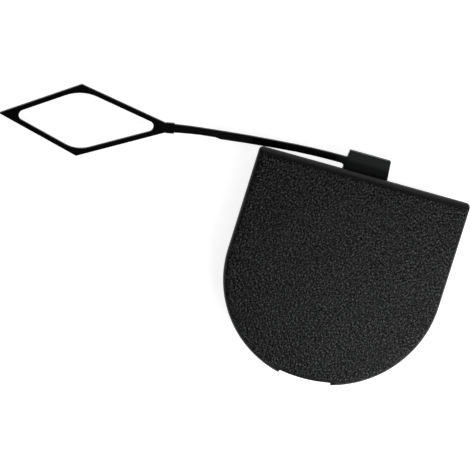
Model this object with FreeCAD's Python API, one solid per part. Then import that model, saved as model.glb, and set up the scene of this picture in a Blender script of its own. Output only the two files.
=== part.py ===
import FreeCAD, Part
import math
import os

from FreeCAD import Vector

# A cover that closes the towing-eye opening of a bumper, moulded in one shot: a crowned plate,
# a collar and a snap arm behind it, a tongue at its flat side, and a tether with a barbed loop.
# Millimetres. The origin is the centre of the round end, on the plane that the collar stands on.
# +Z looks out of the face, +Y points at the flat side and the tether runs off along -X.

# Plate
plate_width = 70.0         # across the straight sides, and twice the radius of the round end
straight_length = 35.0     # from the round end's centre to the flat side
corner_radius = 1.4        # plan radius where the straight sides meet the flat side
plate_thickness = 3.0      # from the seat to the top of the crown
crown_radius = 1360.0      # the face swells as the bumper round it does
face_wall = 2.2            # wall left over the hollow inside the collar
edge_radius = 1.3          # rounding along the straight sides and the round end
lip_radius = 2.0           # fuller roll along the flat side

# Pry notch in the round end, for the blade that lifts the cover out
notch_width = 17.4
notch_depth = 1.38         # at the floor's lowest place
notch_floor_radius = 46.0
notch_skew = 1.0           # the floor's lowest place lies this much left of the catch line

# The snap arm and the notch share one line and the tongue has another, right of the middle
catch_line = 0.6
tongue_line = 0.35

# Collar that drops into the opening
collar_depth = 8.0         # from its rim to the seat behind the plate
collar_inset = 2.8         # overhang of the plate that seats on the bumper
collar_wall = 1.8          # at the root
collar_corner_radius = 3.0
draft_angle = 1.0          # degrees

# Bumper skin that the tongue and the snap arm reach behind
bumper_skin = 3.0
skin_clearance = 0.2

# Snap arm: the stretch of collar between two slots, with a barb outside
arm_width = 12.0
arm_slot = 1.6
barb_reach = 1.7
barb_width = 10.0
barb_lead = 4.2            # height of the ramp below the catching face

# Tongue
tongue_end_width = 13.5
tongue_taper = 6.0         # degrees on each flank
tongue_reach = 5.5         # past the flat side of the plate
tongue_thickness = 2.2
tongue_edge_radius = 0.3

# Ribs and webs that stiffen the moulding
rib_thickness = 1.2
rib_drop = 2.4             # below the wall of the plate
rib_spacing = 21.0
web_reach = 4.0            # how far a web runs out from the collar's wall
web_spacing = 10.0
crush_rib_radius = 0.6     # half-round ribs that take up play in the opening
crush_rib_rise = 0.35
crush_rib_spacing = 17.0
crush_rib_start = 1.5      # above the rim, below a cone that leads it in

# Tether: its far edge is smooth, and its width is set off towards the plate
strap_offset = 3.1         # far edge past the plate's flat side, where it leaves the tongue
strap_thickness = 1.6
strap_sink = 0.3           # top of the strap below the top of the tongue
strap_edge_radius = 0.35
strap_root_radius = 1.2    # plan fillet between the strap and the tongue's flank
strap_root_width = 2.4
strap_slim_width = 2.35
strap_full_width = 2.75
root_length, root_turn = 16.2, 4.0        # each run's length, and the degrees that it bends
body_length, body_turn = 24.5, 2.8
step_length = 1.8          # the near edge steps in where the strap slims
neck_length, neck_turn = 5.0, 0.0
end_length, end_turn = 9.7, 3.9

# Stop and loop at the strap's far end
stop_width = 3.4
stop_length = 2.7
loop_tip_length = 25.6     # from the pointed tip to the widest place
loop_neck_length = 31.8    # from the widest place to where the two long bars would meet
loop_width = 23.35
loop_skew = 0.25           # the far wide corner leans this much to the tip, the near one back
loop_bar = 1.65
loop_overlap = 2.8         # how far the meeting point lies back along the strap
loop_end_radius = 1.75     # inside, at the tip and the neck
loop_far_radius = 13.0     # inside, at the wide corner away from the plate
loop_near_radius = 10.0    # inside, at the wide corner towards the plate

# Worked out from the sizes above
half_width = plate_width / 2
seat = collar_depth
crown_top = seat + plate_thickness
crown_centre = Vector(0, 0, crown_top - crown_radius)
catch_height = seat - bumper_skin - skin_clearance
collar_outside = half_width - collar_inset
collar_lean = collar_depth * math.tan(math.radians(draft_angle))
strap_top = catch_height - strap_sink
margin = 1.0               # how far a cutter passes the face that it cuts


def line(a, b):
    return Part.LineSegment(a, b).toShape()


def arc(a, b, c):
    return Part.Arc(a, b, c).toShape()


def prism(points, direction):
    """Solid swept straight from a flat polygon."""
    return Part.Face(Part.makePolygon(points + points[:1])).extrude(direction)


def tombstone(inset, corner, z):
    """Outline of the plate moved inwards by inset: a half circle, two sides and a flat side."""
    r = half_width - inset
    flat = straight_length - inset
    bulge = corner * (1 - math.sqrt(0.5))
    return Part.Wire([
        line(Vector(r, 0, z), Vector(r, flat - corner, z)),
        arc(Vector(r, flat - corner, z), Vector(r - bulge, flat - bulge, z),
            Vector(r - corner, flat, z)),
        line(Vector(r - corner, flat, z), Vector(corner - r, flat, z)),
        arc(Vector(corner - r, flat, z), Vector(bulge - r, flat - bulge, z),
            Vector(-r, flat - corner, z)),
        line(Vector(-r, flat - corner, z), Vector(-r, 0, z)),
        arc(Vector(-r, 0, z), Vector(0, -r, z), Vector(r, 0, z)),
    ])


def crown(sink):
    """Ball whose top is the crowned face, or a surface that lies the given depth under it."""
    return Part.makeSphere(crown_radius - sink, crown_centre, Vector(0, 1, 0))


def plate():
    """Crowned slab with its outer edge rounded."""
    blank = Part.Face(tombstone(0, corner_radius, seat)).extrude(Vector(0, 0, plate_thickness))
    slab = blank.common(crown(0))
    rim = [edge for edge in slab.Edges if edge.BoundBox.ZMin > seat + edge_radius]
    return slab.makeFillet(edge_radius, rim)


def lip_cutter():
    """What lies outside the roll of the flat side, carried round the crown from end to end."""
    start = straight_length - lip_radius
    height = math.sqrt(crown_radius ** 2 - start ** 2) + crown_centre.z
    slant = lip_radius * math.sqrt(0.5)
    low = height - lip_radius
    profile = Part.Face(Part.Wire([
        arc(Vector(0, start, height), Vector(0, start + slant, low + slant),
            Vector(0, straight_length, low)),
        line(Vector(0, straight_length, low), Vector(0, straight_length + margin, low)),
        line(Vector(0, straight_length + margin, low),
             Vector(0, straight_length + margin, height + margin)),
        line(Vector(0, straight_length + margin, height + margin),
             Vector(0, start, height + margin)),
        line(Vector(0, start, height + margin), Vector(0, start, height)),
    ]))
    swing = math.degrees(math.asin((half_width + margin) / crown_radius))
    profile.rotate(crown_centre, Vector(0, 1, 0), -swing)
    return profile.revolve(crown_centre, Vector(0, 1, 0), 2 * swing)


def notch_cutter():
    """Shallow bite whose floor is flatter than the round end, through the whole edge."""
    floor = Vector(catch_line - notch_skew, notch_floor_radius + notch_depth - half_width,
                   seat - margin)
    height = plate_thickness + 2 * margin
    block = Part.makeBox(notch_width, floor.y + half_width + margin, height,
                         Vector(catch_line - notch_width / 2, -half_width - margin, floor.z))
    return block.cut(Part.makeCylinder(notch_floor_radius, height, floor))


def collar_block(inset, lean):
    """Drafted block from the rim to the seat, inset at its root and leaning in by lean."""
    root = tombstone(inset, collar_corner_radius, seat)
    rim = tombstone(inset + lean, collar_corner_radius, 0)
    return Part.makeLoft([rim, root], True, True)


def hollow():
    """Space inside the collar, with a ceiling that keeps the plate's wall even."""
    inset = collar_inset + collar_wall
    upper = Part.Face(tombstone(inset, collar_corner_radius, seat))
    return collar_block(inset, -collar_lean).fuse(
        upper.extrude(Vector(0, 0, plate_thickness)).common(crown(face_wall)))


def ribs():
    """One rib along the middle and two across it, hanging from the plate's wall."""
    low = crown_top - face_wall - rib_drop
    height = face_wall + rib_drop
    reach = plate_width + straight_length
    lengthwise = Part.makeBox(rib_thickness, reach, height,
                              Vector(-rib_thickness / 2, -reach / 2, low))
    cross = [Part.makeBox(reach, rib_thickness, height,
                          Vector(-reach / 2, y - rib_thickness / 2, low))
             for y in (-rib_spacing / 2, rib_spacing / 2)]
    inside = Part.Face(tombstone(collar_inset + collar_wall / 2, collar_corner_radius, 0))
    room = inside.extrude(Vector(0, 0, crown_top)).common(crown(face_wall / 2))
    return lengthwise.fuse(cross).common(room)


def web_pair(y, outward, low, high):
    """Two three-cornered webs that stand on the collar's flat wall at y, outside or inside it."""
    tip = y + outward * (collar_wall / 2 + web_reach)
    pair = []
    for x in (tongue_line - web_spacing / 2, tongue_line + web_spacing / 2):
        corner = x - rib_thickness / 2
        pair.append(prism([Vector(corner, y, low), Vector(corner, y, high),
                           Vector(corner, tip, high)], Vector(rib_thickness, 0, 0)))
    return pair


def crush_ribs():
    """Half-round ribs on the outside of the collar's two straight walls, pointed at the rim."""
    r = crush_rib_radius
    profile = Part.Face(Part.makePolygon([
        Vector(0, 0, 0), Vector(r, 0, crush_rib_start), Vector(r, 0, seat), Vector(0, 0, seat),
        Vector(0, 0, 0)]))
    post = profile.revolve(Vector(0, 0, 0), Vector(0, 0, 1), 360)
    posts = []
    for x in (r - collar_outside - crush_rib_rise, collar_outside + crush_rib_rise - r):
        for y in (crush_rib_spacing / 2, crush_rib_spacing * 3 / 2):
            posts.append(post.translated(Vector(x, straight_length - collar_inset - y, 0)))
    return posts


def arm_slots():
    """Slots through the collar that set the snap arm free."""
    depth = half_width - collar_outside + collar_wall + margin
    slots = []
    for x in (catch_line - arm_width / 2 - arm_slot, catch_line + arm_width / 2):
        slots.append(Part.makeBox(arm_slot, half_width - depth, seat + margin,
                                  Vector(x, -half_width - margin, -margin)))
    return slots


def barb():
    """Wedge round the outside of the arm: flat on its catching face, sloped towards the rim."""
    inner = collar_outside - collar_wall / 2
    outer = collar_outside + barb_reach
    low = catch_height - barb_lead
    profile = Part.Face(Part.makePolygon([
        Vector(0, -inner, catch_height), Vector(0, -outer, catch_height),
        Vector(0, -collar_outside + collar_lean, low), Vector(0, -inner, low),
        Vector(0, -inner, catch_height)]))
    swing = math.degrees(math.asin(barb_width / 2 / collar_outside))
    middle = math.degrees(math.asin(catch_line / collar_outside))
    profile.rotate(Vector(0, 0, 0), Vector(0, 0, 1), middle - swing)
    return profile.revolve(Vector(0, 0, 0), Vector(0, 0, 1), 2 * swing)


def tongue_half_width(y):
    end = straight_length + tongue_reach
    return tongue_end_width / 2 + (end - y) * math.tan(math.radians(tongue_taper))


def tongue():
    """Tapered tab that stands on the collar's flat wall and shows past the plate."""
    root = straight_length - collar_inset - collar_wall / 2
    end = straight_length + tongue_reach
    low = catch_height - tongue_thickness
    tab = prism([Vector(tongue_line - tongue_half_width(root), root, low),
                 Vector(tongue_line + tongue_half_width(root), root, low),
                 Vector(tongue_line + tongue_half_width(end), end, low),
                 Vector(tongue_line - tongue_half_width(end), end, low)],
                Vector(0, 0, tongue_thickness))
    free = [edge for edge in tab.Edges if edge.BoundBox.YMax > root + margin]
    return tab.makeFillet(tongue_edge_radius, free)


def strap_run(start, heading, length, turn, width, end_width):
    """Far and near edge of one run of the strap, with their points and the heading at its end.

    The far edge is an arc of the given length that turns by turn degrees, or a straight line
    where it doesn't turn, and the near edge lies off it by a width that changes evenly."""
    far, near = [], []
    for share in (0, 0.5, 1):
        way = math.radians(heading + turn * share / 2)
        across = math.radians(heading + turn * share + 90)
        off = width + (end_width - width) * share
        point = start + Vector(math.cos(way), math.sin(way), 0) * (length * share)
        far.append(point)
        near.append(point + Vector(math.cos(across), math.sin(across), 0) * off)
    if turn:
        edges = arc(*far), arc(near[2], near[1], near[0])
    else:
        edges = line(far[0], far[2]), line(near[2], near[0])
    return edges, far, near, heading + turn


def strap(flank):
    """Flat strap from the tongue's flank to the loop, with the middle and heading of its end."""
    heading = 180.0
    point = Vector(flank, straight_length + strap_offset, strap_top)
    runs = ((root_length, root_turn, strap_root_width, strap_slim_width),
            (body_length, body_turn, strap_slim_width, strap_full_width),
            (step_length, 0.0, strap_full_width, strap_slim_width),
            (neck_length, neck_turn, strap_slim_width, strap_slim_width),
            (end_length, end_turn, strap_slim_width, strap_full_width))
    far_edges, near_edges = [], []
    for length, turn, width, end_width in runs:
        edges, far, near, heading = strap_run(point, heading, length, turn, width, end_width)
        far_edges.append(edges[0])
        near_edges.insert(0, edges[1])
        point = far[2]
    inner_far = Vector(flank + margin, straight_length + strap_offset, strap_top)
    inner_near = inner_far - Vector(0, strap_root_width, 0)
    root_near = inner_near - Vector(margin, 0, 0)
    outline = Part.Wire([line(inner_far, inner_far - Vector(margin, 0, 0))] + far_edges
                        + [line(far[2], near[2])] + near_edges
                        + [line(root_near, inner_near), line(inner_near, inner_far)])
    solid = Part.Face(outline).extrude(Vector(0, 0, -strap_thickness))
    return solid, (far[2] + near[2]) * 0.5, heading


def window_side(edge, point, across):
    """Where an upright corner of the window stands: -1 far, 0 at the tip or neck, 1 near."""
    off_axis = (edge.CenterOfMass - point).dot(across)
    if abs(off_axis) <= loop_bar:
        return 0
    return 1 if off_axis > 0 else -1


def loop_frame(point, heading):
    """Kite-shaped ring that starts at the given point and runs along the heading."""
    along = Vector(math.cos(math.radians(heading)), math.sin(math.radians(heading)), 0)
    across = Vector(-along.y, along.x, 0)
    wide = point + along * loop_neck_length
    lean = across * loop_width / 2 - along * loop_skew
    corners = [point, wide + lean, point + along * (loop_neck_length + loop_tip_length),
               wide - lean]
    outer = Part.makePolygon(corners + corners[:1])
    inner = outer.makeOffset2D(-loop_bar)
    down = Vector(0, 0, -strap_thickness)
    window = Part.Face(inner).extrude(down)
    for radius, side in ((loop_end_radius, 0), (loop_far_radius, -1), (loop_near_radius, 1)):
        posts = [edge for edge in window.Edges if edge.BoundBox.ZLength > strap_thickness / 2
                 and edge.Curve.TypeId == "Part::GeomLine"
                 and window_side(edge, point, across) == side]
        window = window.makeFillet(radius, posts)
    return Part.Face(outer).extrude(down).cut(window)


def tether():
    """Strap, stop and loop in one, rounded along both of their faces."""
    middle_y = straight_length + strap_offset - strap_root_width / 2
    ribbon, axis, heading = strap(tongue_line - tongue_half_width(middle_y))
    along = Vector(math.cos(math.radians(heading)), math.sin(math.radians(heading)), 0)
    across = Vector(-along.y, along.x, 0)
    stop = prism([axis + along * a * stop_length / 2 + across * b * stop_width / 2
                  for a, b in ((-1, -1), (1, -1), (1, 1), (-1, 1))],
                 Vector(0, 0, -strap_thickness))
    ring = loop_frame(axis - along * loop_overlap, heading)
    whole = ribbon.fuse([stop, ring]).removeSplitter()
    flat = [edge for edge in whole.Edges if edge.BoundBox.ZLength < strap_thickness / 2]
    return whole.makeFillet(strap_edge_radius, flat)


def root_fillet():
    """Concave corner that leads the strap's near edge into the tongue's flank."""
    near_y = straight_length + strap_offset - strap_root_width
    flank = tongue_line - tongue_half_width(near_y)
    low = strap_top - strap_thickness
    r = strap_root_radius
    block = Part.makeBox(r + margin, r + margin, strap_thickness, Vector(flank - r, near_y - r, low))
    return block.cut(Part.makeCylinder(r, strap_thickness, Vector(flank - r, near_y - r, low)))


def cover():
    """The whole moulding as one solid."""
    flat_wall = straight_length - collar_inset - collar_wall / 2
    shell = plate().cut([lip_cutter(), notch_cutter()])
    shell = shell.fuse(collar_block(collar_inset, collar_lean)).cut(hollow())
    shell = shell.cut(arm_slots())
    added = [ribs(), barb(), tongue(), tether(), root_fillet()]
    added += web_pair(flat_wall, -1, catch_height - tongue_thickness, crown_top - face_wall)
    return shell.fuse(added).removeSplitter().fuse(crush_ribs())


os.makedirs("parts", exist_ok=True)
body = cover()
print("solids", len(body.Solids), "valid", body.isValid(), "volume", round(body.Volume, 1))
print("box", body.BoundBox)
body.exportStep("parts/tow_hook_cover.step")
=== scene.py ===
import math

import bpy
import numpy as np
from mathutils import Matrix, Vector


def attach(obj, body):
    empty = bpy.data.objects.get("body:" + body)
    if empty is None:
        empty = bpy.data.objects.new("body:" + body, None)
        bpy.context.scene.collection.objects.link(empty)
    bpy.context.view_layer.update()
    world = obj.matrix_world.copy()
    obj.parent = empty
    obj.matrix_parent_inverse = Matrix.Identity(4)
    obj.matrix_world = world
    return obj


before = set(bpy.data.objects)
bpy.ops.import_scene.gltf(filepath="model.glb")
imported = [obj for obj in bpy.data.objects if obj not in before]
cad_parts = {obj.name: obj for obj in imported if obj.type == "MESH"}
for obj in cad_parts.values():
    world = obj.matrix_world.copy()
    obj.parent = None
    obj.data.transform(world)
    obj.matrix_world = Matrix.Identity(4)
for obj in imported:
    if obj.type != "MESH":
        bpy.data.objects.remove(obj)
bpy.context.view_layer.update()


# The moulding: plate, collar, snap arm, ribs, tongue, strap and loop came out of one mould.
# It is unpainted black polypropylene. Only the plate's face was spark-eroded in the mould, so
# all the rest is satin smooth, with faint drag marks.

def link(tree, source, target):
    """A line from one node's output to another node's input."""
    tree.links.new(source, target)


def put(tree, kind, place, **settings):
    """A node at a place in the editor, with its plain settings and socket values."""
    node = tree.nodes.new(kind)
    node.location = place
    for name, value in settings.items():
        if name.startswith("in_"):
            key = name[3:]
            socket = int(key) if key.isdigit() else key.replace("_", " ")
            node.inputs[socket].default_value = value
        else:
            setattr(node, name, value)
    return node


def satin_group():
    """Satin moulded plastic: cloudy gloss, drag marks and a fine tooth, as one shared group.

    The colour is the plastic's own, darker or paler by a slow noise. The roughness rises and
    falls with a middling noise and with drag marks, which are a noise drawn out along X. The
    height is a very fine noise and a quarter of the drag marks."""
    group = bpy.data.node_groups.new("satin_moulding", "ShaderNodeTree")
    face = group.interface
    face.new_socket("Coordinates", in_out="INPUT", socket_type="NodeSocketVector")
    face.new_socket("Plastic", in_out="INPUT", socket_type="NodeSocketColor")
    for name, value in (("Cloud", 0.2), ("Dull", 0.5), ("Gloss swing", 0.1), ("Drag", 0.1),
                        ("Tooth", 5000.0)):
        socket = face.new_socket(name, in_out="INPUT", socket_type="NodeSocketFloat")
        socket.default_value = value
    face.new_socket("Colour", in_out="OUTPUT", socket_type="NodeSocketColor")
    face.new_socket("Roughness", in_out="OUTPUT", socket_type="NodeSocketFloat")
    face.new_socket("Height", in_out="OUTPUT", socket_type="NodeSocketFloat")
    start = put(group, "NodeGroupInput", (-900, 0))
    end = put(group, "NodeGroupOutput", (700, 0))

    slow = put(group, "ShaderNodeTexNoise", (-600, 300), in_Scale=90.0, in_Detail=3.0)
    middling = put(group, "ShaderNodeTexNoise", (-600, 0), in_Scale=420.0, in_Detail=4.0)
    fine = put(group, "ShaderNodeTexNoise", (-600, -300), in_Detail=2.0)
    drawn = put(group, "ShaderNodeVectorMath", (-800, -550), operation="MULTIPLY",
                in_1=(160.0, 2600.0, 2600.0))
    drag = put(group, "ShaderNodeTexNoise", (-600, -550), in_Scale=1.0, in_Detail=2.0)
    for noise in (slow, middling, fine):
        link(group, start.outputs["Coordinates"], noise.inputs["Vector"])
    link(group, start.outputs["Coordinates"], drawn.inputs[0])
    link(group, drawn.outputs[0], drag.inputs["Vector"])
    link(group, start.outputs["Tooth"], fine.inputs["Scale"])

    # colour = plastic x (1 + cloud x (slow noise - a half) x 2)
    swing = put(group, "ShaderNodeMath", (-350, 350), operation="MULTIPLY_ADD", in_1=2.0, in_2=-1.0)
    link(group, slow.outputs["Fac"], swing.inputs[0])
    cloud = put(group, "ShaderNodeMath", (-150, 350), operation="MULTIPLY_ADD", in_2=1.0)
    link(group, swing.outputs[0], cloud.inputs[0])
    link(group, start.outputs["Cloud"], cloud.inputs[1])
    tint = put(group, "ShaderNodeVectorMath", (100, 300), operation="SCALE")
    link(group, start.outputs["Plastic"], tint.inputs[0])
    link(group, cloud.outputs[0], tint.inputs["Scale"])
    link(group, tint.outputs[0], end.inputs["Colour"])

    # roughness = dull + swing x (middling noise - a half) x 2 + drag x (drag marks - a half) x 2
    worn = start.outputs["Dull"]
    for noise, amount, height in ((middling, "Gloss swing", 50), (drag, "Drag", -100)):
        sway = put(group, "ShaderNodeMath", (-350, height), operation="MULTIPLY_ADD",
                   in_1=2.0, in_2=-1.0)
        link(group, noise.outputs["Fac"], sway.inputs[0])
        sum_up = put(group, "ShaderNodeMath", (-150, height), operation="MULTIPLY_ADD")
        link(group, sway.outputs[0], sum_up.inputs[0])
        link(group, start.outputs[amount], sum_up.inputs[1])
        link(group, worn, sum_up.inputs[2])
        worn = sum_up.outputs[0]
    link(group, worn, end.inputs["Roughness"])

    # height = fine noise + a quarter of the drag marks
    tooth = put(group, "ShaderNodeMath", (-150, -300), operation="MULTIPLY_ADD", in_1=0.25)
    link(group, drag.outputs["Fac"], tooth.inputs[0])
    link(group, fine.outputs["Fac"], tooth.inputs[2])
    link(group, tooth.outputs[0], end.inputs["Height"])
    return group


satin_moulding = satin_group()
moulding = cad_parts["tow_hook_cover"]

satin_black = bpy.data.materials.new("satin_black_polypropylene")
satin_black.use_nodes = True
tree = satin_black.node_tree
gloss = tree.nodes["Principled BSDF"]
gloss.inputs["IOR"].default_value = 1.49
gloss.inputs["Specular IOR Level"].default_value = 0.2
where = put(tree, "ShaderNodeTexCoord", (-1300, 0))
satin = put(tree, "ShaderNodeGroup", (-500, 0), node_tree=satin_moulding)
satin.inputs["Cloud"].default_value = 0.18
satin.inputs["Gloss swing"].default_value = 0.06
satin.inputs["Drag"].default_value = 0.05
satin.inputs["Tooth"].default_value = 5200.0
bump = put(tree, "ShaderNodeBump", (-200, -250), in_Strength=0.5, in_Distance=0.00001)

# the strap and loop, left of the tongue's flank, are painted a deeper black than the tongue and
# shell, which is painted shade on the one plastic, and they are a little glossier
TETHER_END_X, TONGUE_X = -0.0105, -0.0070
along = put(tree, "ShaderNodeSeparateXYZ", (-1100, 200))
off_tether = put(tree, "ShaderNodeMapRange", (-900, 200),
                 in_From_Min=TETHER_END_X, in_From_Max=TONGUE_X)
plastic = put(tree, "ShaderNodeMix", (-700, 250), data_type="RGBA")
# the strap's and loop's colour: the same plastic, darkened as painted shade
plastic.inputs[6].default_value = (0.0016, 0.0016, 0.0017, 1.0)
plastic.inputs[7].default_value = (0.0156, 0.0167, 0.0162, 1.0)
dullness = put(tree, "ShaderNodeMapRange", (-700, 50), in_To_Min=0.30, in_To_Max=0.40)
link(tree, where.outputs["Object"], along.inputs[0])
link(tree, along.outputs["X"], off_tether.inputs[0])
link(tree, off_tether.outputs[0], plastic.inputs[0])
link(tree, off_tether.outputs[0], dullness.inputs[0])
link(tree, plastic.outputs[2], satin.inputs["Plastic"])
link(tree, dullness.outputs[0], satin.inputs["Dull"])
link(tree, where.outputs["Object"], satin.inputs["Coordinates"])
link(tree, satin.outputs["Colour"], gloss.inputs["Base Color"])
link(tree, satin.outputs["Roughness"], gloss.inputs["Roughness"])
link(tree, satin.outputs["Height"], bump.inputs["Height"])
link(tree, bump.outputs["Normal"], gloss.inputs["Normal"])
moulding.data.materials.clear()
moulding.data.materials.append(satin_black)


# The plate's outer skin: the crowned face with its spark-eroded grain, the rounded edge, the
# fuller and smoother roll of the flat side, and the edge's wall down to the seat, with the pry
# notch in it. It is the same plastic, and it lies a hair outside the moulding's plate.

HALF_WIDTH = 0.035
FLAT_SIDE = 0.035
SEAT = 0.008
CROWN_TOP = 0.011
CROWN_RADIUS = 1.36
CORNER = 0.0014
EDGE_ROLL = 0.0013
LIP_ROLL = 0.002
FACE_INSET = 0.0026          # the even grid of the face stops here, and the rings go on outwards
FACE_COLUMNS = 93, 98, 86    # left of the notch, across it and right of it
FACE_ROWS = 136, 140         # in the round end and in the straight part
FLAT_RINGS = 4               # from the grid to where the edge's roll starts
ROLL_RINGS = 9               # round the roll
WALL_RINGS = 5               # down the wall
NOTCH_MIDDLE, NOTCH_HALF = 0.0006, 0.0087
STEP_DEPTH_LEFT, STEP_DEPTH_RIGHT = 0.0340, 0.0337    # how far below the centre its steps lie
STEP_SLIVER = 0.0008         # how far apart in u the two columns of a step lie
STEP_OUTSIDE = 0.00002       # its outer corner stands this much further out than its inner one
NOTCH_FLOOR_RADIUS = 0.046
NOTCH_FLOOR_X, NOTCH_FLOOR_Y = -0.0004, 0.01238     # centre of the floor's arc
PROUD = 0.00003              # the skin's height over the moulding's plate
SEAT_GAP = 0.00002           # the wall stops this much short of the seat
GRAIN_DEPTH = 0.00034
GRAIN_SHORTEST, GRAIN_LONGEST = 0.00060, 0.0016
WORM_SLANT = math.radians(62)
WORM_STRETCH = 1.4
LIP_SMOOTH, LIP_FADE = 0.0013, 0.0010      # no grain so near the flat side, then it fades in
WALL_SMOOTH, WALL_FADE = 0.0003, 0.0008    # and the same at the walls
SMOOTH_PAINTED_SHADE = 0.42           # painted shade: the polished lip and rolls get a darker tone than the grain


def outline_distance(x, y):
    """How far a point lies inside the plate's outline: to the round end below, to the nearest
    straight side above, and to the corner's own arc near the two corners."""
    straight = np.minimum(HALF_WIDTH - np.abs(x), FLAT_SIDE - y)
    cx, cy = np.abs(x) - (HALF_WIDTH - CORNER), y - (FLAT_SIDE - CORNER)
    rounded = CORNER - np.hypot(np.maximum(cx, 0), np.maximum(cy, 0))
    straight = np.where((cx > 0) & (cy > 0), rounded, straight)
    return np.where(y > 0, straight, HALF_WIDTH - np.hypot(x, y))


def roll_drop(inset, radius):
    """Depth of a quarter-round edge below the face, at a distance in from the wall."""
    reach = np.clip(radius - inset, 0, radius)
    return radius - np.sqrt(radius ** 2 - reach ** 2)


def face_height(x, y):
    """The crowned ball's height, less the deeper of the edge's roll and the flat side's roll."""
    ball = np.sqrt(CROWN_RADIUS ** 2 - x ** 2 - y ** 2) + CROWN_TOP - CROWN_RADIUS
    edge = roll_drop(outline_distance(x, y), EDGE_ROLL)
    lip = roll_drop(FLAT_SIDE - y, LIP_ROLL)
    return ball - np.maximum(edge, lip)


def face_grid(columns, rows):
    """The tombstone as one grid: u runs across, v from the round end up to the flat side.

    Above the centre the grid is a plain rectangle. Below it the half square is pulled into a
    half disc: x is multiplied by the root of (1 - v squared / 2), and y by that of
    (1 - u squared / 2)."""
    u, v = np.meshgrid(columns, rows)
    half, top = HALF_WIDTH - FACE_INSET, FLAT_SIDE - FACE_INSET
    x = half * u * np.where(v < 0, np.sqrt(1 - v ** 2 / 2), 1)
    y = np.where(v < 0, half * v * np.sqrt(1 - u ** 2 / 2), top * v)
    return x, y


def crossing_waves(x, y, shortest, longest, count, seed):
    """Sum of cosines in random directions, from the shortest to the longest length.

    A wave's height grows with its number of waves in a metre, so the short ones lead. The sum
    is divided by the root of half their squared heights, so that its usual swing is about one."""
    rng = np.random.default_rng(seed)
    total, power = np.zeros(x.shape), 0.0
    for way, phase, step in zip(*rng.uniform(0, 1, (3, count))):
        per_metre = 1 / longest + (1 / shortest - 1 / longest) * step
        across = x * math.cos(2 * math.pi * way) + y * math.sin(2 * math.pi * way)
        height = per_metre * shortest
        total += height * np.cos(2 * math.pi * (per_metre * across + phase))
        power += height ** 2 / 2
    return total / math.sqrt(power)


def grain_height(x, y):
    """Spark-eroded grain from 0 in its valleys to 1 on its crests: a field of waves of about a
    millimetre from all sides, drawn out by two fifths along one slant so that it reads as short
    worms, and squeezed by a hyperbolic tangent."""
    along = x * math.cos(WORM_SLANT) + y * math.sin(WORM_SLANT)
    across = x * math.sin(WORM_SLANT) - y * math.cos(WORM_SLANT)
    field = crossing_waves(along / WORM_STRETCH, across, GRAIN_SHORTEST, GRAIN_LONGEST,
                           count=140, seed=11)
    return 0.5 + 0.5 * np.tanh(0.6 * field)


def grained_share(x, y):
    """1 where the grain has its full depth, and 0 where the mould was polished.

    The grain fades out onto the flat side's roll, by a smooth step, and close to every wall,
    which are the outline's and the notch's floor and steps."""
    from_lip = np.clip((FLAT_SIDE - y - LIP_SMOOTH) / LIP_FADE, 0, 1)
    beyond_floor = NOTCH_FLOOR_RADIUS - np.hypot(x - NOTCH_FLOOR_X, y - NOTCH_FLOOR_Y)
    beyond_steps = np.abs(x - NOTCH_MIDDLE) - NOTCH_HALF
    to_wall = np.minimum(outline_distance(x, y), np.maximum(beyond_floor, beyond_steps))
    from_wall = np.clip((to_wall - WALL_SMOOTH) / WALL_FADE, 0, 1)
    return from_lip * from_lip * (3 - 2 * from_lip) * from_wall


def up_to_corner(share, length):
    """A wall and the first half of its corner's arc are shared out evenly: how far along the
    wall's line the point at a share lies, and how far in from that line."""
    total = length - CORNER + CORNER * math.pi / 4
    run = share * total
    turn = np.clip((run - (length - CORNER)) / CORNER, 0, math.pi / 4)
    along = np.minimum(run, length - CORNER) + CORNER * np.sin(turn)
    return along, CORNER * (1 - np.cos(turn))


def round_end_rays(x, y, columns, step_left, step_right):
    """Ends of the rays out of the grid's lowest row: straight on from the centre to the round
    end, but across the notch evenly along the arc of its floor, between its two steps."""
    bottom = np.arctan2(x, -y)
    bx, by = HALF_WIDTH * np.sin(bottom), -HALF_WIDTH * np.cos(bottom)
    in_notch = (columns >= step_left) & (columns < step_right)
    share = (columns - step_left) / (step_right - STEP_SLIVER - step_left)
    nx = NOTCH_MIDDLE + NOTCH_HALF * (2 * share - 1)
    ny = NOTCH_FLOOR_Y - np.sqrt(NOTCH_FLOOR_RADIUS ** 2 - (nx - NOTCH_FLOOR_X) ** 2)
    first_out = np.searchsorted(columns, step_left) - 1
    last_out = np.searchsorted(columns, step_right)
    bx = np.where(in_notch, nx, bx)
    by = np.where(in_notch, ny, by)
    for at, side in ((first_out, -1), (last_out, 1)):
        step_x = NOTCH_MIDDLE + side * NOTCH_HALF + side * STEP_OUTSIDE
        bx[at], by[at] = step_x, -math.sqrt(HALF_WIDTH ** 2 - step_x ** 2)
    return bx, by


def outward_normals(verts, triangles):
    """Each vertex's normal: the cross products of its triangles, summed and brought to one."""
    normal = np.zeros_like(verts)
    area = np.cross(verts[triangles[:, 1]] - verts[triangles[:, 0]],
                    verts[triangles[:, 2]] - verts[triangles[:, 0]])
    for corner in range(3):
        np.add.at(normal, triangles[:, corner], area)
    return normal / (np.linalg.norm(normal, axis=1, keepdims=True) + 1e-12)


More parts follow.
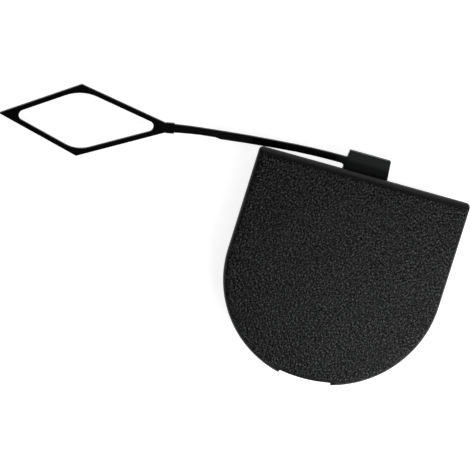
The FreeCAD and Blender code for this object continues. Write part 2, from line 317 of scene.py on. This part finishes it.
def plate_skin():
    """Grid of the face, rings round it out over the edge, wall and a closing cap underneath."""
    half, top = HALF_WIDTH - FACE_INSET, FLAT_SIDE - FACE_INSET
    # each of the notch's two steps is a pair of grid columns that lie close together, at the u
    # that is the root of 2 times the sine of the step's angle seen from the centre
    step_right = math.sqrt(2) * math.sin(math.atan2(NOTCH_MIDDLE + NOTCH_HALF, STEP_DEPTH_RIGHT))
    step_left = math.sqrt(2) * math.sin(math.atan2(NOTCH_MIDDLE - NOTCH_HALF, STEP_DEPTH_LEFT))
    columns = np.concatenate([
        np.linspace(-1, step_left - STEP_SLIVER, FACE_COLUMNS[0]),
        np.linspace(step_left, step_right - STEP_SLIVER, FACE_COLUMNS[1]),
        np.linspace(step_right, 1, FACE_COLUMNS[2])])
    rows = np.concatenate([np.linspace(-1, 0, FACE_ROWS[0], endpoint=False),
                           np.linspace(0, 1, FACE_ROWS[1])])
    x, y = face_grid(columns, rows)
    nr, nc = x.shape
    index = np.arange(nr * nc).reshape(nr, nc)
    face_quads = np.stack([index[:-1, :-1], index[:-1, 1:], index[1:, 1:], index[1:, :-1]], -1)

    # rays from the grid's border to the outline, anticlockwise from the lower left corner: the
    # round end with the notch, the right wall, the flat side and the left wall
    bx, by = round_end_rays(x[0], y[0], columns, step_left, step_right)
    rx, ry = x[:, -1], y[:, -1]
    turn = np.arctan2(ry, rx)
    along, in_by = up_to_corner(np.clip(ry / top, 0, 1), FLAT_SIDE)
    sx = np.where(ry < 0, HALF_WIDTH * np.cos(turn), HALF_WIDTH - in_by)
    sy = np.where(ry < 0, HALF_WIDTH * np.sin(turn), along)
    tx = x[-1, ::-1]
    along, in_by = up_to_corner(np.abs(tx) / half, HALF_WIDTH)
    border = np.concatenate([index[0, :-1], index[:-1, -1], index[-1, :0:-1], index[:0:-1, 0]])
    end_x = np.concatenate([bx[:-1], sx[:-1], (np.sign(tx) * along)[:-1], -sx[:0:-1]])
    end_y = np.concatenate([by[:-1], sy[:-1], (FLAT_SIDE - in_by)[:-1], sy[:0:-1]])
    in_x, in_y = x.ravel()[border], y.ravel()[border]

    # rings: even steps to where the roll starts, and then even turns round it. The edge's roll
    # has grown to the flat side's fuller one by five sevenths of the way up the corner.
    on_lip = np.clip((end_y - (FLAT_SIDE - CORNER)) / CORNER * 1.4, 0, 1)
    roll = EDGE_ROLL + (LIP_ROLL - EDGE_ROLL) * on_lip
    flat_part = np.linspace(0, 1, FLAT_RINGS + 1)[1:, None]
    turns = np.radians(np.linspace(0, 90, ROLL_RINGS + 1)[1:])[:, None]
    inset = np.concatenate([FACE_INSET + (roll - FACE_INSET) * flat_part,
                            roll * (1 - np.sin(turns))])
    share = 1 - inset / FACE_INSET
    ring_x = in_x + (end_x - in_x) * share
    ring_y = in_y + (end_y - in_y) * share
    ring_z = face_height(ring_x, ring_y)

    # the wall from the end of the roll down to the seat, then in and up under the face
    roll_end_z = ring_z[-1]
    drop = np.linspace(0, 1, WALL_RINGS + 1)[1:, None]
    wall_z = roll_end_z + (SEAT + SEAT_GAP - roll_end_z) * drop
    wall_x, wall_y = np.tile(end_x, (WALL_RINGS, 1)), np.tile(end_y, (WALL_RINGS, 1))
    under_in = np.array([[0.0004], [0.0012]])
    under_up = np.array([[0.0003], [0.0008]])
    under_x = in_x + (end_x - in_x) * (1 - under_in / FACE_INSET)
    under_y = in_y + (end_y - in_y) * (1 - under_in / FACE_INSET)
    under_z = np.tile(SEAT + under_up, (1, len(border)))
    ring_x = np.concatenate([ring_x, wall_x, under_x])
    ring_y = np.concatenate([ring_y, wall_y, under_y])
    ring_z = np.concatenate([ring_z, wall_z, under_z])

    # faces of the grid, of the rings from its border on, and of the cap round a hub in the middle
    verts = np.concatenate([
        np.stack([x, y, face_height(x, y)], -1).reshape(-1, 3),
        np.stack([ring_x, ring_y, ring_z], -1).reshape(-1, 3),
        [[0.0, 0.0, SEAT + under_up[-1, 0]]]])
    count, hub = len(border), len(verts) - 1
    loops = np.concatenate([border[None], nr * nc + np.arange(ring_x.size).reshape(-1, count)])
    nxt = np.roll(loops, -1, axis=1)
    ring_quads = np.stack([loops[:-1], loops[1:], nxt[1:], nxt[:-1]], -1)
    quads = np.concatenate([face_quads.reshape(-1, 4), ring_quads.reshape(-1, 4)])
    cap = np.stack([loops[-1], np.full(count, hub), nxt[-1]], -1)

    # face and wall are lifted along their normals, a hair proud and by the grain's height
    normal = outward_normals(verts, np.concatenate([quads[:, [0, 1, 2]], quads[:, [0, 2, 3]], cap]))
    grain = grain_height(verts[:, 0], verts[:, 1])
    full = grained_share(verts[:, 0], verts[:, 1])
    outer = np.ones(len(verts))
    outer[nr * nc + ring_x.size - len(under_in) * count:] = 0
    lift = PROUD + GRAIN_DEPTH * grain * full
    verts = verts + normal * (lift * outer)[:, None]

    mesh = bpy.data.meshes.new("plate_skin")
    mesh.from_pydata(verts.tolist(), [], quads.tolist() + cap.tolist())
    mesh.update()
    # the grain attribute drives the face's painted light and shade, and on the polished lip and
    # rolls it is held at the darker painted shade
    grain_for_painted_light = SMOOTH_PAINTED_SHADE + (grain - SMOOTH_PAINTED_SHADE) * full
    for name, values in (("grain", grain_for_painted_light), ("grained", full)):
        layer = mesh.attributes.new(name, "FLOAT", "POINT")
        layer.data.foreach_set("value", values.astype(np.float32))
    mesh.shade_smooth()
    mesh.set_sharp_from_angle(angle=math.radians(50))
    skin = bpy.data.objects.new("plate_skin", mesh)
    bpy.context.scene.collection.objects.link(skin)
    return skin


skin = plate_skin()
grained_black = bpy.data.materials.new("grained_black_polypropylene")
grained_black.use_nodes = True
tree = grained_black.node_tree
gloss = tree.nodes["Principled BSDF"]
gloss.inputs["IOR"].default_value = 1.49
gloss.inputs["Specular IOR Level"].default_value = 0.18
where = put(tree, "ShaderNodeTexCoord", (-1100, 0))
grain_map = put(tree, "ShaderNodeAttribute", (-1100, 300), attribute_name="grain")
satin = put(tree, "ShaderNodeGroup", (-800, 0), node_tree=satin_moulding)
satin.inputs["Plastic"].default_value = (0.0115, 0.0117, 0.0118, 1.0)
satin.inputs["Cloud"].default_value = 0.2
satin.inputs["Dull"].default_value = 0.35
satin.inputs["Gloss swing"].default_value = 0.1
satin.inputs["Drag"].default_value = 0.03
satin.inputs["Tooth"].default_value = 2600.0
grained_map = put(tree, "ShaderNodeAttribute", (-1100, -300), attribute_name="grained")

# the plastic's fine tooth stays off the polished lip and rolls
sunk = put(tree, "ShaderNodeMath", (-400, -300), operation="MULTIPLY")
bump = put(tree, "ShaderNodeBump", (-200, -250), in_Strength=1.0, in_Distance=0.00004)
link(tree, satin.outputs["Height"], sunk.inputs[0])
link(tree, grained_map.outputs["Fac"], sunk.inputs[1])
link(tree, sunk.outputs[0], bump.inputs["Height"])
link(tree, bump.outputs["Normal"], gloss.inputs["Normal"])

# tone = (1 + crest swing x (grain - a half) + speck swing x (specks - a half)) to the power 1.6.
# This is painted light on the grain's crests and painted shade in its valleys, and the specks, a
# noise drawn out along the worms' slant, are painted streaks of light and shade. The lip and rolls
# have none.
CREST_SWING = 0.9
PAINTED_STREAK_SWING = 5.2
painted_streak_place = put(tree, "ShaderNodeMapping", (-1300, 600), vector_type="TEXTURE")
painted_streak_place.inputs["Rotation"].default_value = (0.0, 0.0, WORM_SLANT)
painted_streak_place.inputs["Scale"].default_value = (WORM_STRETCH, 1.0, 1.0)
painted_streaks = put(tree, "ShaderNodeTexNoise", (-1100, 600), noise_dimensions="2D", in_Scale=2300.0,
             in_Detail=0.0)
painted_streak_swing = put(tree, "ShaderNodeMath", (-900, 600), operation="MULTIPLY_ADD",
                  in_1=PAINTED_STREAK_SWING, in_2=-PAINTED_STREAK_SWING / 2)
painted_streak_kept = put(tree, "ShaderNodeMath", (-750, 600), operation="MULTIPLY")
grain_swing = put(tree, "ShaderNodeMath", (-900, 400), operation="MULTIPLY_ADD",
                  in_1=CREST_SWING, in_2=1 - CREST_SWING / 2)
swings = put(tree, "ShaderNodeMath", (-600, 500), operation="ADD")
not_below_black = put(tree, "ShaderNodeMath", (-520, 500), operation="MAXIMUM", in_1=0.0)
painted_light_and_shade = put(tree, "ShaderNodeMath", (-450, 500), operation="POWER", in_1=1.6)
toned = put(tree, "ShaderNodeVectorMath", (-400, 300), operation="SCALE")
link(tree, where.outputs["Object"], painted_streak_place.inputs["Vector"])
link(tree, painted_streak_place.outputs[0], painted_streaks.inputs["Vector"])
link(tree, painted_streaks.outputs["Fac"], painted_streak_swing.inputs[0])
link(tree, painted_streak_swing.outputs[0], painted_streak_kept.inputs[0])
link(tree, grained_map.outputs["Fac"], painted_streak_kept.inputs[1])
link(tree, grain_map.outputs["Fac"], grain_swing.inputs[0])
link(tree, painted_streak_kept.outputs[0], swings.inputs[0])
link(tree, grain_swing.outputs[0], swings.inputs[1])
link(tree, swings.outputs[0], not_below_black.inputs[0])
link(tree, not_below_black.outputs[0], painted_light_and_shade.inputs[0])
link(tree, where.outputs["Object"], satin.inputs["Coordinates"])
link(tree, satin.outputs["Colour"], toned.inputs[0])
link(tree, painted_light_and_shade.outputs[0], toned.inputs["Scale"])
link(tree, toned.outputs[0], gloss.inputs["Base Color"])

# the valleys are duller than the crests
crest_gloss = put(tree, "ShaderNodeMapRange", (-800, 200), in_To_Min=0.08, in_To_Max=-0.12)
polished = put(tree, "ShaderNodeMath", (-400, 100), operation="ADD")
link(tree, grain_map.outputs["Fac"], crest_gloss.inputs[0])
link(tree, satin.outputs["Roughness"], polished.inputs[0])
link(tree, crest_gloss.outputs[0], polished.inputs[1])
link(tree, polished.outputs[0], gloss.inputs["Roughness"])
skin.data.materials.append(grained_black)
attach(skin, "root")


# The table it lies on: a plain matt sheet, which keeps the part's soft shadow. It is a mid grey
# to the lamps, so that little light comes up from it, and it glows white to the camera.

def flat_sheet(name, size, z):
    """A level square about the origin."""
    grid = np.array([(-1, -1), (1, -1), (1, 1), (-1, 1)], float) * size / 2
    mesh = bpy.data.meshes.new(name)
    mesh.from_pydata([(px, py, z) for px, py in grid], [], [(0, 1, 2, 3)])
    sheet = bpy.data.objects.new(name, mesh)
    bpy.context.scene.collection.objects.link(sheet)
    return sheet


table_top = flat_sheet("white_table", 6.0, -0.00005)
white_paper = bpy.data.materials.new("white_paper")
white_paper.use_nodes = True
tree = white_paper.node_tree
paper = tree.nodes["Principled BSDF"]
paper.inputs["Base Color"].default_value = (0.5, 0.5, 0.5, 1.0)
paper.inputs["Roughness"].default_value = 0.9
paper.inputs["Specular IOR Level"].default_value = 0.1
paper.inputs["Emission Color"].default_value = (1.0, 1.0, 1.0, 1.0)
path = put(tree, "ShaderNodeLightPath", (-700, -200))
seen = put(tree, "ShaderNodeMath", (-450, -200), operation="MAXIMUM")
seen_too = put(tree, "ShaderNodeMath", (-250, -200), operation="MAXIMUM")
link(tree, path.outputs["Is Camera Ray"], seen.inputs[0])
link(tree, path.outputs["Is Glossy Ray"], seen.inputs[1])
link(tree, seen.outputs[0], seen_too.inputs[0])
link(tree, path.outputs["Is Transmission Ray"], seen_too.inputs[1])
SEEN_WHITE = 0.88            # the lamps' light brings it up to one
lift_white = put(tree, "ShaderNodeMath", (-50, -200), operation="MULTIPLY", in_1=SEEN_WHITE)
link(tree, seen_too.outputs[0], lift_white.inputs[0])
link(tree, lift_white.outputs[0], paper.inputs["Emission Strength"])
table_top.data.materials.append(white_paper)


# Studio light: a dim dome, a key and a small cool window light near where the face mirrors the
# camera, a tall softbox on the right, and a wide one past the flat side that lights its roll.
# Four small lamps rake the grain and a fill reaches the tongue, and none of the five is mirrored.

world = bpy.data.worlds.new("studio")
bpy.context.scene.world = world
world.use_nodes = True
tree = world.node_tree
dome = tree.nodes["Background"]
dome.inputs["Color"].default_value = (1.0, 1.0, 1.0, 1.0)

# the dome fades from the horizon up, but the camera sees it plain white
path = put(tree, "ShaderNodeLightPath", (-700, 200))
sky = put(tree, "ShaderNodeTexCoord", (-1100, 0))
height = put(tree, "ShaderNodeSeparateXYZ", (-900, 0))
fading = put(tree, "ShaderNodeMapRange", (-700, 0), in_From_Min=0.0, in_From_Max=0.9,
             in_To_Min=0.17, in_To_Max=0.05)
level = put(tree, "ShaderNodeMix", (-400, 0), data_type="FLOAT")
level.inputs[3].default_value = 1.0
link(tree, sky.outputs["Generated"], height.inputs[0])
link(tree, height.outputs["Z"], fading.inputs[0])
link(tree, path.outputs["Is Camera Ray"], level.inputs[0])
link(tree, fading.outputs[0], level.inputs[2])
link(tree, level.outputs[0], dome.inputs["Strength"])


def softbox(name, place, aim, width, height, power):
    """A rectangular lamp at a place, turned to a point it aims at, with its power in watts."""
    lamp = bpy.data.lights.new(name, "AREA")
    lamp.shape = "RECTANGLE"
    lamp.size, lamp.size_y = width, height
    lamp.energy = power
    box = bpy.data.objects.new(name, lamp)
    bpy.context.scene.collection.objects.link(box)
    box.location = place
    box.rotation_mode = "QUATERNION"
    box.rotation_quaternion = (Vector(aim) - Vector(place)).to_track_quat("-Z", "Y")
    return box


softbox("key_softbox", (0.094, -0.087, 0.22), (0.01, -0.01, 0.01), 0.07, 0.07, 0.085)
softbox("right_softbox", (0.22, -0.08, 0.22), (0.0, 0.0, 0.01), 0.10, 0.22, 0.07)
softbox("far_softbox", (0.06, 0.40, 0.14), (0.0, 0.035, 0.008), 0.30, 0.13, 0.23)
window_light = softbox("window_softbox", (0.056, -0.084, 0.22), (0.01, -0.02, 0.01),
                       0.03, 0.03, 0.04)
window_light.data.color = (0.86, 0.94, 1.0)
for number, place, power in ((1, (0.120, 0.035, 0.090), 0.067),
                             (2, (0.110, -0.055, 0.075), 0.047),
                             (3, (0.08, -0.12, 0.07), 0.036),
                             (4, (0.046, -0.050, 0.060), 0.021)):
    rake_light = softbox("rake_light_%d" % number, place, (0.0, 0.0, 0.01), 0.03, 0.03, power)
    rake_light.visible_glossy = False
    rake_light.visible_camera = False
matt_fill = softbox("matt_fill", (0.05, 0.45, 0.50), (-0.02, 0.01, 0.01), 0.2, 0.2, 0.42)
matt_fill.visible_glossy = False


# Camera: a long lens far off, as the photograph has almost no perspective. It looks steeply
# down from beyond the flat side, and it is rolled so that the tether runs to the upper left.

VIEW_AZIMUTH = math.radians(-146.597)
VIEW_ELEVATION = math.radians(74.825)
VIEW_ROLL = math.radians(163.069)
VIEW_MIDDLE = Vector((-0.034211, 0.005008, 0.009))
VIEW_DISTANCE = 4.14122

camera = bpy.data.cameras.new("product_camera")
camera.lens = 1002.9
camera.sensor_width = 36.0
product_camera = bpy.data.objects.new("product_camera", camera)
bpy.context.scene.collection.objects.link(product_camera)
back = Vector((math.sin(VIEW_AZIMUTH) * math.cos(VIEW_ELEVATION),
               -math.cos(VIEW_AZIMUTH) * math.cos(VIEW_ELEVATION), math.sin(VIEW_ELEVATION)))
level_right = Vector((math.cos(VIEW_AZIMUTH), math.sin(VIEW_AZIMUTH), 0))
right = level_right * math.cos(VIEW_ROLL) + back.cross(level_right) * math.sin(VIEW_ROLL)
up = back.cross(right)
turned = Matrix((right, up, back)).transposed().to_4x4()
product_camera.matrix_world = Matrix.Translation(VIEW_MIDDLE + back * VIEW_DISTANCE) @ turned
bpy.context.scene.camera = product_camera

view = bpy.context.scene.view_settings
view.view_transform = "Standard"
